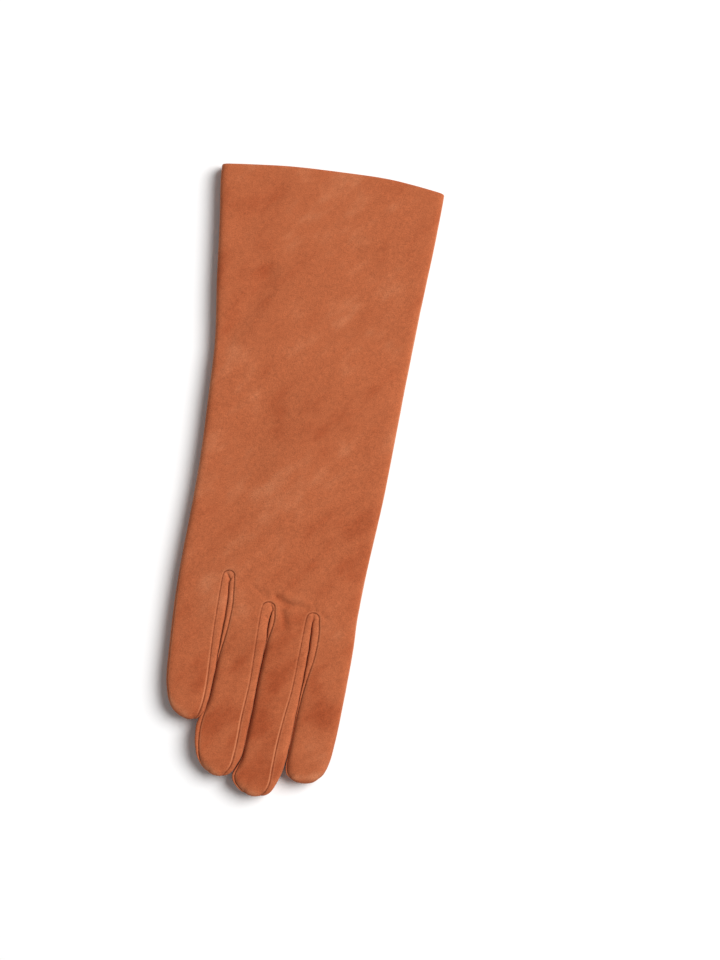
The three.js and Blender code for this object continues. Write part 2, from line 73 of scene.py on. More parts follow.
# The slits between the fingers. Each starts in a round end on the back and on the palm. From
# there the seams of both fingers run to a point on the outline of the tip, and the crack
# between the fingers runs along the border of each.
SLITS = [
    {
        "back": {
            "middle": (-14, -47.5), "radius": 2.7,
            "crack": [(-13.4, -49.2), (-12.9, -53.7), (-12.4, -60), (-12.3, -66), (-12.5, -74)],
            "left": [(-16.7, -54), (-16.5, -66), (-16.2, -75.5), (-15.5, -87.6), (-15, -97),
                (-15.1, -105), (-15.9, -110.8), (-17, -113.8)],
            "right": [(-10.6, -54), (-10, -60), (-10.2, -69.5), (-10.8, -76.3), (-11.5, -81.5),
                (-12.1, -86.5), (-12.5, -98), (-12.8, -104), (-13.4, -109.2), (-14.1, -113.7),
                (-14.4, -119.2), (-13.6, -126.8), (-11.5, -133.6)],
        },
        "palm": {
            "middle": (-14.4, -62), "radius": 3.4,
            "crack": [(-14.4, -62), (-13.2, -68)],
            "left": [(-18.8, -70), (-18.9, -78), (-18.4, -90), (-17.8, -103), (-18, -110)],
            "right": [(-9.2, -70), (-8.5, -78), (-8.2, -90), (-8.8, -103), (-9.8, -109), (-11.2, -114),
                (-11.6, -120), (-11.2, -127), (-9.8, -133.6)],
        },
        "left_end": (-18.6, -115.3), "right_end": (-7.4, -137.75),
        "left_border": [(-12.5, -87.5), (-12.7, -98), (-12.9, -104.4), (-13.6, -109.2), (-14.9, -112.6),
            (-16.5, -114.5)],
        "right_border": [(-12.5, -87.5), (-12.7, -98), (-13, -104), (-14, -109.2), (-16, -114),
            (-16.7, -119.5), (-15.9, -125.1), (-14, -130.8), (-11.7, -134.4), (-9.6, -136.4)],
    },
    {
        "back": {
            "middle": (6.6, -58.7), "radius": 3,
            "crack": [(8.4, -59), (7.9, -62.8), (8, -67.5), (8.2, -72)],
            "left": [(3.6, -66), (3.9, -76), (4.2, -86), (4.3, -95), (3.6, -110), (3.6, -120),
                (3.4, -126.5), (2.5, -133.2)],
            "right": [(10.1, -63), (9.9, -66.5), (9.4, -69.7), (8.8, -73), (8.4, -77.5), (8.05, -83),
                (7.8, -92), (7.8, -101), (7.7, -113), (7.5, -122), (7, -129), (6, -133), (5.1, -136.6),
                (6, -139.8), (8.8, -142.6)],
        },
        "palm": {
            "middle": (7, -72), "radius": 3.4,
            "crack": [(7, -72), (7.2, -78)],
            "left": [(2.8, -80), (2.6, -88), (3, -99), (2.6, -113), (2.8, -127), (1.9, -133.2)],
            "right": [(11.8, -80), (12.3, -90), (12.4, -99), (11.8, -113), (10.8, -127), (9, -133),
                (8.4, -138), (9.6, -142.2)],
        },
        "left_end": (-0.6, -138.6), "right_end": (11.4, -144.4),
        "left_border": [(8.1, -78), (7.8, -84), (7.6, -92), (7.6, -102), (7.4, -113), (7.1, -122),
            (6.6, -128), (5.2, -132.4), (3.5, -135.8), (1.3, -137.7)],
        "right_border": [(8.1, -78), (7.8, -84), (7.6, -92), (7.6, -102), (7.4, -113), (7.1, -122),
            (6.7, -129), (5.3, -132.9), (3.7, -136.3), (4.2, -139), (6.3, -141.6), (9.3, -143.7)],
    },
    {
        "back": {
            "middle": (27.5, -60), "radius": 3,
            "crack": [(27.5, -60), (27.6, -65), (28, -72.5)],
            "left": [(24.4, -68), (24.3, -77), (24, -94), (22.8, -106.3), (21.9, -119.2), (21.7, -129.7),
                (21.6, -137.4), (20.4, -141.5)],
            "right": [(31.2, -65), (31.5, -70.5), (31.2, -78.2), (30.3, -84), (29.6, -89.3), (29, -95),
                (28.3, -106), (27.9, -118), (27.8, -124), (28, -128.8), (29, -132)],
        },
        "palm": {
            "middle": (27.9, -71.2), "radius": 3.6,
            "crack": [(27.9, -71.2), (28, -77)],
            "left": [(21.4, -81), (19.9, -90), (19.4, -100), (19.2, -109), (19.4, -120), (20.2, -130),
                (20.6, -137.4), (19.6, -141.6)],
            "right": [(31.9, -81), (32.3, -90), (32.3, -100), (31.8, -109), (31, -120), (30.6, -129)],
        },
        "left_end": (18.2, -144.45), "right_end": (30.4, -133.9),
        "left_border": [(28.2, -82), (28.1, -90), (27.9, -98), (27.7, -107), (27.5, -118), (27.1, -126),
            (26.2, -132.6), (24.9, -137), (23.2, -141), (20.9, -143.4)],
        "right_border": [(28.2, -82), (28.1, -90), (27.9, -98), (27.7, -107), (27.5, -118), (27.4, -124),
            (27.3, -129.2), (28.3, -132.3)],
    },
]

# How the round edges turn: how wide, how full, and over which length the crack between two
# fingers deepens. Towards the finger tips all turns become as wide as those of the tips.
OUTER_TURN = 6.2
OUTER_TIP_TURN = 6.0
TIP_TURN_START, TIP_TURN_END = -40, -90
LEFT_FINGER_TURN = 6.0
RIGHT_FINGER_TURN = 3.2
FINGER_TURN_START, FINGER_TURN_END = 14, 2
OUTER_FULLNESS = 4.2
CRACK_FULLNESS = 2.9
PALM_SOFTNESS = 1.9
LEAST_FULLNESS = 1.7
CRACK_FADE = 4.5
TIP_STEPS = 20
TIP_BOW = 0.12
BOW_START = 0.85

# Only the fold itself lies at its level, so that the back and the palm side meet there and
# nowhere else
LEAST_RISE = 0.03

# Rows of the mesh from the cuff to the slits and on to the tips, closer together towards their
# ends, and columns of each stretch
HAND_ROWS = 110
HAND_CROWDING = 0.6
FINGER_ROWS = 80
FINGER_CROWDING = 0.09
HEM_ROWS = 5
HEM_FOLD_ROWS = 6
TURN_COLUMNS = 14
TURN_LIMIT = 0.42
OUTER_COLUMNS = 26
SLIT_COLUMNS = 8
INNER_COLUMNS = 18
SPREAD_START = 0.45


class Path:
    """A smooth line in plan through a few points, read at a share of its length."""

    def __init__(self, points, step=0.3):
        knots = [Vector(point).to_3d() for point in points]
        line = [knots[0]]
        for i in range(len(knots) - 1):
            start, end = knots[i], knots[i + 1]
            before = knots[max(i - 1, 0)]
            after = knots[min(i + 2, len(knots) - 1)]
            reach = (end - start).length
            out = (end - before) * reach / (reach + (start - before).length)
            into = (after - start) * reach / ((after - end).length + reach)
            steps = max(int(reach / step), 1) + 1
            curve = geometry.interpolate_bezier(start, start + out / 3, end - into / 3, end, steps)
            line.extend(curve[1:])
        self.line = line
        self.lengths = [0.0]
        for i in range(1, len(line)):
            self.lengths.append(self.lengths[-1] + (line[i] - line[i - 1]).length)
        self.falls = [-point.y for point in line]

    def at(self, share):
        """The point at a share of the length."""
        wanted = min(max(share, 0.0), 1.0) * self.lengths[-1]
        i = min(max(bisect.bisect_left(self.lengths, wanted), 1), len(self.line) - 1)
        part = (wanted - self.lengths[i - 1]) / max(self.lengths[i] - self.lengths[i - 1], 1e-9)
        return self.line[i - 1].lerp(self.line[i], part)

    def share_at_y(self, y):
        """The share of the length at a y, on a line that only falls."""
        i = bisect.bisect_left(self.falls, -y)
        if i == 0:
            return 0.0
        if i == len(self.line):
            return 1.0
        part = (-y - self.falls[i - 1]) / (self.falls[i] - self.falls[i - 1])
        return lerp(self.lengths[i - 1], self.lengths[i], part) / self.lengths[-1]

    def at_y(self, y):
        """The point at a y, on a line that only falls."""
        return self.at(self.share_at_y(y))


def lerp(start, end, share):
    return start + (end - start) * share


def flat(place):
    return Vector((place.x, place.y, 0))


def ease(low, high, value):
    share = min(max((value - low) / (high - low), 0.0), 1.0)
    return share * share * (3 - 2 * share)


def round_rise(distance, width, fullness):
    """How far a round edge has risen at a distance from the outline, from 0 to 1."""
    short = 1 - min(distance / width, 1.0)
    return (1 - short ** fullness) ** (1 / fullness)


left_edge = Path(LEFT_EDGE)
right_edge = Path(RIGHT_EDGE)
cuff_edge = Path([(y, -x) for x, y in CUFF_EDGE])

# The round end of each slit leaves out the last 30 degrees on both sides, which belong to the
# seams that run on from it. The crack runs free for a stretch before it meets the border.
ARC_END = math.radians(30)
SHOULDER_DROP = 0.3
BORDER_GAP = 5


def arc_point(end, share):
    angle = lerp(math.pi - ARC_END, ARC_END, share)
    middle = Vector(end["middle"]).to_3d()
    return middle + Vector((math.cos(angle), math.sin(angle), 0)) * end["radius"]


for slit in SLITS:
    for side in ("back", "palm"):
        end = slit[side]
        middle, radius = Vector(end["middle"]), end["radius"]
        for seam, share, sign in (("left", 0, -1), ("right", 1, 1)):
            start = arc_point(end, share)
            shoulder = (middle.x + sign * radius, middle.y - SHOULDER_DROP * radius)
            finish = slit[seam + "_end"]
            end[seam + "_seam"] = Path([start.to_2d(), shoulder] + end[seam] + [finish])
            free = end["crack"][-1][1] - BORDER_GAP
            border = [point for point in slit[seam + "_border"] if point[1] < free]
            end[seam + "_crack"] = Path(end["crack"] + border + [finish])


def tree_of(places):
    tree = kdtree.KDTree(len(places))
    for i, place in enumerate(places):
        tree.insert(place, i)
    tree.balance()
    return tree


def outline_tree(lines):
    """Outlines that round edges are measured from: a tree of points, each with the stretch of line
    round it, the width of the turn there, the depth of the drop at it and its fullness."""
    entries = []
    for line in lines:
        for i, (point, width, drop, fullness) in enumerate(line):
            before, after = line[max(i - 1, 0)][0], line[min(i + 1, len(line) - 1)][0]
            entries.append((point, before, after, width, drop, fullness))
    return tree_of([entry[0] for entry in entries]), entries


def away_from_line(place, a, b):
    """The distance from a place to a straight stretch of line."""
    share = geometry.intersect_point_line(place, a, b)[1] if (b - a).length > 0 else 0.0
    return (place - a.lerp(b, min(max(share, 0.0), 1.0))).length


def outer_line(path):
    line = []
    for point in path.line:
        width = lerp(OUTER_TURN, OUTER_TIP_TURN, ease(TIP_TURN_START, TIP_TURN_END, point.y))
        line.append((point, width, 1.0, OUTER_FULLNESS))
    return line


def crack_line(path, width):
    line = []
    for point, length in zip(path.line, path.lengths):
        near_tip = ease(FINGER_TURN_START, FINGER_TURN_END, path.lengths[-1] - length)
        turn = lerp(width, OUTER_TIP_TURN, near_tip)
        line.append((point, turn, ease(0, CRACK_FADE, length), CRACK_FULLNESS))
    return line


def bowed(start, end, share, bow):
    """A point between two others, on a line that bows towards the tip by a share of its length."""
    across = end - start
    to_tip = Vector((across.y, -across.x, 0))
    return start + across * share + to_tip * bow * 4 * share * (1 - share)


def tip_line(start, end):
    """The end of a finger, from one seam's end to the other's."""
    return [(bowed(start, end, i / TIP_STEPS, TIP_BOW), OUTER_TIP_TURN, 1.0, OUTER_FULLNESS)
            for i in range(TIP_STEPS + 1)]


outer_tree = outline_tree([outer_line(left_edge), outer_line(right_edge)])
finger_trees = {}
for side in ("back", "palm"):
    lefts = [outer_line(left_edge)]
    lefts += [crack_line(slit[side]["right_crack"], RIGHT_FINGER_TURN) for slit in SLITS]
    rights = [crack_line(slit[side]["left_crack"], LEFT_FINGER_TURN) for slit in SLITS]
    rights.append(outer_line(right_edge))
    finger_trees[side] = [outline_tree([left, right, tip_line(left[-1][0], right[-1][0])])
                          for left, right in zip(lefts, rights)]

# The thumb lies under the palm, which drapes over it
THUMB_OUTLINE = [
    (31.4, 45.6), (24, 43.2), (15.6, 38), (11.3, 29.6), (9.2, 19), (7.9, 7), (7.2, -5), (5, -16),
    (1.4, -26.4), (-2.4, -36), (-6.1, -46), (-6.6, -54), (-5, -60), (-1.6, -64), (2.4, -66),
    (7.6, -66), (11.4, -64), (15.2, -60), (20.3, -54), (26.6, -46), (33.2, -36), (39, -26.4),
    (44.9, -16), (47.9, -5), (47.9, 7), (47, 19), (44.8, 29.6), (41.4, 38), (36.6, 43.6),
]


class Outline:
    """A closed line in plan, which tells how far outside it a place is."""

    def __init__(self, points):
        self.line = Path(points + points[:1], step=1.0).line
        self.tree = tree_of(self.line)

    def away(self, place):
        """0 inside the line, else the distance to it."""
        distance = self.tree.find((place.x, place.y, 0))[2]
        inside = False
        for a, b in zip(self.line, self.line[1:]):
            if (a.y > place.y) != (b.y > place.y):
                if place.x < lerp(a.x, b.x, (place.y - a.y) / (b.y - a.y)):
                    inside = not inside
        return 0.0 if inside else distance


thumb_outline = Outline(THUMB_OUTLINE)


def heights(place):
    """Height of the palm side and of the back, away from round edges."""
    away = thumb_outline.away(place)
    palm = PALM_LIFT * (1 - ease(LIFT_MARGIN, LIFT_MARGIN + LIFT_FADE, away))
    back = HEIGHT + BACK_BULGE * (1 - ease(0, BULGE_FADE, away))
    return palm, back


def on_rim(place):
    """The point of the fold between the back and the palm side."""
    palm, back = heights(place)
    return Vector((place.x, place.y, lerp(palm, back, FOLD_LEVEL)))


def on_surface(place, side, tree):
    """The point of the glove's skin over a place in plan, on the back or on the palm side."""
    found, entries = tree
    place = flat(place)
    point, before, after, width, drop, fullness = entries[found.find(place)[1]]
    away = min(away_from_line(place, before, point), away_from_line(place, point, after))
    if side == "palm":
        fullness = max(fullness - PALM_SOFTNESS, LEAST_FULLNESS)
    rise = max(LEAST_RISE, 1 - drop * (1 - round_rise(away, width, fullness)))
    palm, back = heights(place)
    level = lerp(palm, back, FOLD_LEVEL)
    z = lerp(level, back if side == "back" else palm, rise)
    return Vector((place.x, place.y, z))


def turn_steps(reach):
    """Distances from the outline at which the columns of a round edge lie."""
    steps = []
    for i in range(TURN_COLUMNS + 1):
        angle = math.pi / 2 * i / TURN_COLUMNS
        steps.append(reach * (1 - math.cos(angle) ** (2 / OUTER_FULLNESS)))
    return steps


def outer_shares(width):
    """Where a row crosses the columns of an outer finger, as shares of the row's width."""
    reach = min(OUTER_TURN, TURN_LIMIT * width)
    shares = [step / width for step in turn_steps(reach)]
    inner = OUTER_COLUMNS - TURN_COLUMNS
    for i in range(1, inner + 1):
        shares.append(lerp(reach / width, 1.0, math.sin(math.pi / 2 * i / inner)))
    return shares


# Where the columns of an inner finger lie across it, and the rows of each finger along it
inner_shares = [0.5 - 0.5 * math.cos(math.pi * i / INNER_COLUMNS) for i in range(INNER_COLUMNS + 1)]
alongs = []
for i in range(FINGER_ROWS + 1):
    share = i / FINGER_ROWS
    alongs.append(share - FINGER_CROWDING * math.sin(2 * math.pi * share))

# Where the fingers start at the outer edges
LEFT_ROOT, RIGHT_ROOT = -53.0, -61.0
left_root = left_edge.share_at_y(LEFT_ROOT)
right_root = right_edge.share_at_y(RIGHT_ROOT)


def finger_row(side, finger, along):
    """Places in plan of one row across the back or the palm side of a finger."""
    if finger == 0:
        left = left_edge.at(lerp(left_root, 1, along))
    else:
        left = SLITS[finger - 1][side]["right_seam"].at(along)
    if finger == 3:
        right = right_edge.at(lerp(right_root, 1, along))
    else:
        right = SLITS[finger][side]["left_seam"].at(along)
    width = (right - left).length
    if finger == 0:
        shares = outer_shares(width)
    elif finger == 3:
        shares = [1 - share for share in reversed(outer_shares(width))]
    else:
        shares = inner_shares
    bow = TIP_BOW * ease(BOW_START, 1.0, along)
    return [bowed(left, right, share, bow) for share in shares]


def root_row(side):
    """Places in plan of the row that runs across the hand through the ends of the slits."""
    row = []
    for finger in range(4):
        row += finger_row(side, finger, 0.0)
        if finger < 3:
            end = SLITS[finger][side]
            row += [arc_point(end, i / SLIT_COLUMNS) for i in range(1, SLIT_COLUMNS)]
    return row


# Columns across the cuff: those of both round edges, and even ones between them
CUFF_WIDTH = 102.6
turns = [step / CUFF_WIDTH for step in turn_steps(OUTER_TURN)]
flat_columns = 2 * OUTER_COLUMNS + 2 * INNER_COLUMNS + 3 * SLIT_COLUMNS - 2 * TURN_COLUMNS
spread = turns + [lerp(turns[-1], 1 - turns[-1], i / flat_columns) for i in range(1, flat_columns)]
spread += [1 - share for share in reversed(turns)]


def hand_row(roots, share):
    """Places in plan of one row across the hand or cuff, at a share of the way to the slits."""
    row = []
    for root, even in zip(roots, spread):
        cuff_y = cuff_edge.at_y((0.5 - even) * CUFF_WIDTH).x
        y = lerp(cuff_y - HEM_FOLD, root.y, share)
        left, right = left_edge.at_y(y).x, right_edge.at_y(y).x
        root_left, root_right = left_edge.at_y(root.y).x, right_edge.at_y(root.y).x
        at_root = (root.x - root_left) / (root_right - root_left)
        across = lerp(even, at_root, ease(SPREAD_START, 1.0, share))
        row.append(Vector((lerp(left, right, across), y, 0)))
    return row


def lay_grid(bm, rows):
    """A grid with its points put in place, without those that a row leaves out."""
    last_row, last_column = len(rows) - 1, len(rows[0]) - 1
    grid = bmesh.ops.create_grid(bm, x_segments=last_column, y_segments=last_row, size=1)
    unused = []
    for vert in grid["verts"]:
        row = rows[round((1 - vert.co.y) / 2 * last_row)]
        place = row[round((vert.co.x + 1) / 2 * last_column)]
        if place is None:
            unused.append(vert)
        else:
            vert.co = place
    bmesh.ops.delete(bm, geom=unused, context="VERTS")


def skin_sheet(bm, side):
    """The back or the palm side of the skin."""
    roots = root_row(side)
    rows = []
    for i in range(HAND_ROWS + 1):
        share = i / HAND_ROWS
        down = (1 + HAND_CROWDING) * share - HAND_CROWDING * share * share
        row = roots if i == HAND_ROWS else hand_row(roots, down)
        places = [on_surface(place, side, outer_tree) for place in row]
        rows.append([on_rim(row[0])] + places[1:-1] + [on_rim(row[-1])])
    for along in alongs[1:]:
        row = []
        for finger in range(4):
            tree = finger_trees[side][finger]
            places = finger_row(side, finger, along)
            rims = {0: 0, 3: len(places) - 1}
            row += [on_rim(place) if along == alongs[-1] or rims.get(finger) == j
                    else on_surface(place, side, tree) for j, place in enumerate(places)]
            row += [None] * (SLIT_COLUMNS - 1 if finger < 3 else 0)
        rows.append(row)
    lay_grid(bm, rows)


# The oval hole in the palm that the thumb is sewn into
THUMB_HOLE = [
    (31.4, 45.6), (22.4, 42.3), (14.6, 36.2), (11.4, 29), (9.6, 19), (8.4, 7.3), (8.2, -5),
    (10.6, -12.8), (16.8, -19), (24, -22), (31.6, -22), (38.6, -19), (43.8, -13), (46.4, -5),
    (46.8, 6), (46, 18), (43.8, 28.6), (40.6, 36.8), (36.4, 42.4),
]
thumb_hole = Outline(THUMB_HOLE)

# Seams show as fine grooves with a low ridge beside them. The lines that they follow: both seams
# of each slit with its round end, the seams that close the little finger and the index tip, and
# the thumb's. They fade out where they end and where a finger rolls over them into the crack.
SEAM_DEPTH = 0.3
SEAM_WIDTH = 0.35
RIDGE_HEIGHT = 0.2
RIDGE_AWAY = 0.9
RIDGE_WIDTH = 0.45
SEAM_REACH = 5.0
SEAM_FADE = 12
ARC_POINTS = 24
CLOSING_POINTS = 360
CLOSING_START = 0.3
CLOSING_END = 0.82
INDEX_TIP_SEAM = [(47.5, -118), (46.9, -123.6), (45.3, -128.4), (42.4, -131.9), (38.4, -135.1)]


def seam_half(end, seam, side, tree):
    """The points of one seam of a slit, each with how strong it shows and how worn its edge is, which
    sets both the ridge beside it and that ridge's painted highlight.
    It fades out near the finger tip and where the crack leaves it little room."""
    path, crack = end[seam + "_seam"], end[seam + "_crack"]
    marks = []
    for point, length in zip(path.line, path.lengths):
        to_tip = path.lengths[-1] - length
        room = abs(crack.at_y(point.y).x - point.x) if length > 4 else 2.0
        strength = ease(0.3, 3.5, to_tip) * (0.1 + 0.9 * ease(0.4, 1.4, room))
        # How high the ridge beside the seam stands and how light it is painted: partly worn nap, partly
        # painted highlight
        worn = 0.15 + 0.4 * ease(25, 60, length) if seam == "left" else 0.2
        marks.append((on_surface(point, side, tree), strength, worn * ease(1, 9, to_tip)))
    return marks


def seam_marks(slit, side):
    """One slit's seam on one side, from the left finger's tip over the round end to the right one's."""
    end, trees = SLITS[slit][side], finger_trees[side]
    arc = []
    for i in range(1, ARC_POINTS):
        arc.append((on_surface(arc_point(end, i / ARC_POINTS), side, outer_tree), 1.0, 0.15))
    left = seam_half(end, "left", side, trees[slit])
    return left[::-1] + arc + seam_half(end, "right", side, trees[slit + 1])


def plain_marks(places, strength, worn):
    """A seam that fades out at both of its ends."""
    marks = []
    for i, place in enumerate(places):
        shown = ease(0, SEAM_FADE, min(i, len(places) - 1 - i))
        marks.append((place, strength * shown, worn * shown))
    return marks


slit_seams = [seam_marks(slit, side) for slit in range(3) for side in ("back", "palm")]

# The closing seam lies in the fold and climbs to the back of the little finger
closing_line = []
for i in range(CLOSING_POINTS):
    place, ahead = left_edge.at(i / CLOSING_POINTS), left_edge.at(i / CLOSING_POINTS + 0.002)
    inwards = Vector((place.y - ahead.y, ahead.x - place.x, 0)).normalized()
    climb = lerp(CLOSING_START, CLOSING_END, ease(10, -70, place.y))
    short = (1 - climb ** OUTER_FULLNESS) ** (1 / OUTER_FULLNESS)
    tree = finger_trees["back"][0] if place.y < LEFT_ROOT else outer_tree
    closing_line.append(on_surface(place + inwards * OUTER_TIP_TURN * (1 - short), "back", tree))
index_line = [on_surface(point, "back", finger_trees["back"][3]) for point in Path(INDEX_TIP_SEAM).line]
thumb_seam = [(on_surface(point, "palm", outer_tree), 0.9, 0.3) for point in thumb_hole.line]

seam_points = [mark for marks in slit_seams for mark in marks]
seam_points += plain_marks(closing_line, 0.6, 0.3) + plain_marks(index_line, 0.4, 0.1) + thumb_seam
seam_tree = tree_of([mark[0] for mark in seam_points])

# Soft folds, dents (a depth over 0) and low ridges (under 0) that the glove took in wear, each
# from one place in plan to another
BACK_FOLDS = [
    # start, end, width, depth
    ((-36, 57), (-21, 91), 5, 1.1),
    ((-37, 109), (-24, 128), 5, 0.7),
    ((15, 109), (25, 101), 5, 0.4),
    ((-2, -50), (4.6, -54.6), 0.8, 0.4),
    ((2, -50.4), (6.6, -54.8), 0.6, 0.35),
    ((8.7, -53), (14.8, -55.6), 1.6, 0.75),
    ((14, -55.4), (23.6, -55.2), 1.4, 0.5),
    ((13.4, -52.2), (21.6, -52.4), 1.6, -0.3),
    ((12.4, -57.4), (15.6, -66), 1.5, 0.75),
    ((16.6, -58), (18, -68), 2.2, -0.25),
    ((26, -52.1), (28, -56.2), 0.6, 0.4),
    ((30.6, -56.6), (33.6, -59), 1.1, 0.3),
    ((-11, -46.6), (-8.4, -48.6), 1, 0.2),
    ((-15, -46.6), (-13.5, -49), 0.5, 0.6),
    ((-12.3, -47), (-13.3, -49), 0.4, 0.4),
    ((7.2, -56.6), (8.4, -59), 0.5, 0.5),
    ((5.6, -62.6), (7.2, -63.4), 0.5, 0.4),
    ((27.2, -57.8), (27.5, -60.2), 0.5, 0.5),
    ((40.5, -114.3), (44.6, -112.2), 0.8, -0.15),
]
PALM_FOLDS = [
    ((-34, 20), (6, -10), 5, 0.5),
    ((-30, -20), (0, -34), 4, 0.4),
    ((-20, 90), (20, 110), 12, 0.7),
]

# Low waves all over the skin, each with its length and height
WAVES = [(35, 0.3), (12, 0.1), (4, 0.03)]
RIDGE_UNEVEN = 6


def marks_at(marks, point):
    """The sum of all marks at a place. Each is full along its line and fades out to its sides."""
    amount = 0.0
    for start, end, width, strength in marks:
        off = away_from_line(flat(point), Vector(start).to_3d(), Vector(end).to_3d())
        if off < 2.5 * width:
            amount += strength * math.exp(-(off / width) ** 2)
    return amount


def relief(point, normal, seam, ridge_share):
    """How a point of the skin moves off its plain shape: out along its normal, and into a seam."""
    place, away, strength, worn = seam
    ridge = math.exp(-((away - RIDGE_AWAY) / RIDGE_WIDTH) ** 2)
    uneven = 0.75 + 0.5 * noise.noise(point / RIDGE_UNEVEN)
    waves = sum(height * noise.noise(point / length) for length, height in WAVES)
    lift = RIDGE_HEIGHT * ridge * worn * ridge_share * uneven + waves * ease(0, SEAM_REACH, away)
    lift -= abs(normal.z) * marks_at(BACK_FOLDS if normal.z > 0 else PALM_FOLDS, point)
    groove = SEAM_DEPTH * strength * math.exp(-(away / SEAM_WIDTH) ** 2)
    inwards = Vector((0, 0, -groove if place.z > HEIGHT / 2 else groove))
    return normal * lift + inwards


def face_outwards(bm, way=1):
    """Turns all faces the same way, with the top facing up (way 1) or the bottom down (-1)."""
    bmesh.ops.recalc_face_normals(bm, faces=bm.faces)
    bm.normal_update()
    if max(bm.verts, key=lambda vert: vert.co.z * way).normal.z * way < 0:
        bmesh.ops.reverse_faces(bm, faces=bm.faces)
        bm.normal_update()


# Where the back is darker (a tone over 0) or lighter (under 0), from one place to another: mostly how
# the nap lies, with painted shade along folds and painted light along the finger tips' edges
NAP_AND_SHADING_MARKS = [
    # start, end, width, tone
    # These three: painted shade in and beyond the two long dents across the back
    ((-36.5, 61), (-20, 89), 4.5, 0.4),
    ((-20, 89), (-8, 100), 5, 0.15),
    ((-37, 111), (-28, 122), 7, 0.3),
    ((8.5, 103), (14, 82), 8, -0.3),
    ((36, 104), (40, 72), 9, -0.3),
    ((23.5, 61), (32, 67), 3, 0.4),
    ((24, 10), (28, 13), 3, 0.5),
    ((-25, 52), (-18, 34), 8, -0.3),
    ((-9, 36), (-3, 43), 7, 0.25),
    ((-8, 11), (-11, 18), 7, 0.2),
    ((-2, -4), (8, -14), 8, -0.25),
    ((29, -46), (44, -24), 5, 0.3),
    ((20, -33), (17, -19), 5, 0.2),
    ((8, -34), (0, -19), 6, -0.25),
    # These two: painted shade in the creases at the root of the middle finger
    ((10, -53), (15.6, -56.4), 1.6, 0.6),
    ((12.6, -58), (15.6, -66), 1.6, 0.4),
    ((-31, -62), (-24, -72), 6, 0.25),
    ((-30, -80), (-27, -100), 8, 0.35),
    ((40, -67), (40, -88), 5, -0.25),
    ((34, -90), (40, -106), 5, 0.25),
    ((35, -122), (42, -121), 6, -0.3),
    ((-5, -76), (-2, -88), 4.5, 0.3),
    ((11.5, -78), (15, -94), 4.5, 0.3),
    ((-9, -58), (-6.5, -70), 4, -0.2),
    ((26, 90), (33, 82), 5, 0.2),
    # These four: lighter along the round edges of the finger tips, painted light that lifts their shaded
    # edges, partly rubbed nap
    ((-31, -108.5), (-22, -114), 2.4, -1),
    ((-12, -134.5), (-3, -137.8), 2.2, -0.9),
    ((8, -141.6), (17, -144), 2.2, -1.1),
    ((31, -133), (43, -131), 2.4, -1.1),
]
FINGER_TONE = 0.3
# Lighter on the steep sides of the skin, away from seams and tips: partly rubbed nap on the folds,
# partly painted light on side walls that the key light leaves in shade
RUBBED_AND_LIT_TONE = -1.3

# The least share of the wall's thickness, where a seam fades out, and the least height of a point
THIN_WALL = 0.12
LEAST_HEIGHT = 0.02


def nap_and_shading_tone(point, normal):
    """How dark or light the back is at a place, from 1 to -1: how the nap lies, with painted shade along
    folds and painted light at the tips' edges. The fingers are a little darker.
    """
    marked = marks_at(NAP_AND_SHADING_MARKS, point) if normal.z > 0 else 0.0
    return marked + FINGER_TONE * ease(-35, -110, point.y)


def press_relief(bm, ridge_share, rubbed_and_lit_tone=0.0):
    """Gives a piece its seams, folds and unevenness, and notes what its finish and wall need."""
    new_layer = bm.verts.layers.float.new
    seam_away, seam_shade = new_layer("seam_away"), new_layer("seam_shade")
    worn_edge, tone = new_layer("worn_edge"), new_layer("nap_and_shading_tone")
    wall = bm.verts.layers.deform.verify()
    moved = []
    for vert in bm.verts:
        place, index, away = seam_tree.find(vert.co)
        strength, worn = seam_points[index][1:]
        # Steep sides take the rubbed tone: partly rubbed nap, partly painted light on side walls in
        # shade
        rubbed_and_lit = 1 - ease(0.15, 0.8, abs(vert.normal.z))
        rubbed_and_lit = rubbed_and_lit * ease(0.5, 2.5, away) * ease(-112, -100, vert.co.y)
        vert[seam_away] = min(away, SEAM_REACH)
        vert[seam_shade] = strength
        vert[worn_edge] = worn * ridge_share
        vert[tone] = nap_and_shading_tone(vert.co, vert.normal) + rubbed_and_lit_tone * rubbed_and_lit
        vert[wall][0] = min(1.0, max(THIN_WALL, 0.9 * strength + away / SEAM_REACH))
        moved.append(vert.co + relief(vert.co, vert.normal, (place, away, strength, worn), ridge_share))
    for vert, place in zip(bm.verts, moved):
        vert.co = place
        vert.co.z = max(vert.co.z, LEAST_HEIGHT)
    bm.normal_update()


def add_object(name, data):
    made = bpy.data.objects.new(name, data)
    bpy.context.scene.collection.objects.link(made)
    return made


def mesh_object(name, bm, material):
    """Makes an object of a finished mesh in millimetres."""
    bmesh.ops.scale(bm, vec=(MM, MM, MM), verts=bm.verts)
    for face in bm.faces:
        face.smooth = True
    mesh = bpy.data.meshes.new(name)
    bm.to_mesh(mesh)
    bm.free()
    mesh.materials.append(material)
    return add_object(name, mesh)


SHARP_FROM = math.radians(55)


def leather_piece(name, bm, material):
    """Makes an object of a skin, with the leather's thickness inwards."""
    piece = mesh_object(name, bm, material)
    piece.vertex_groups.new(name="wall")
    wall = piece.modifiers.new("wall", "SOLIDIFY")
    wall.thickness = LEATHER * MM
    wall.offset = -1
    wall.vertex_group = "wall"
    thick = bpy.data.meshes.new_from_object(piece.evaluated_get(bpy.context.evaluated_depsgraph_get()))
    piece.modifiers.clear()
    piece.vertex_groups.clear()
    piece.data = thick
    thick.name = name
    thick.set_sharp_from_angle(angle=SHARP_FROM)
    return piece


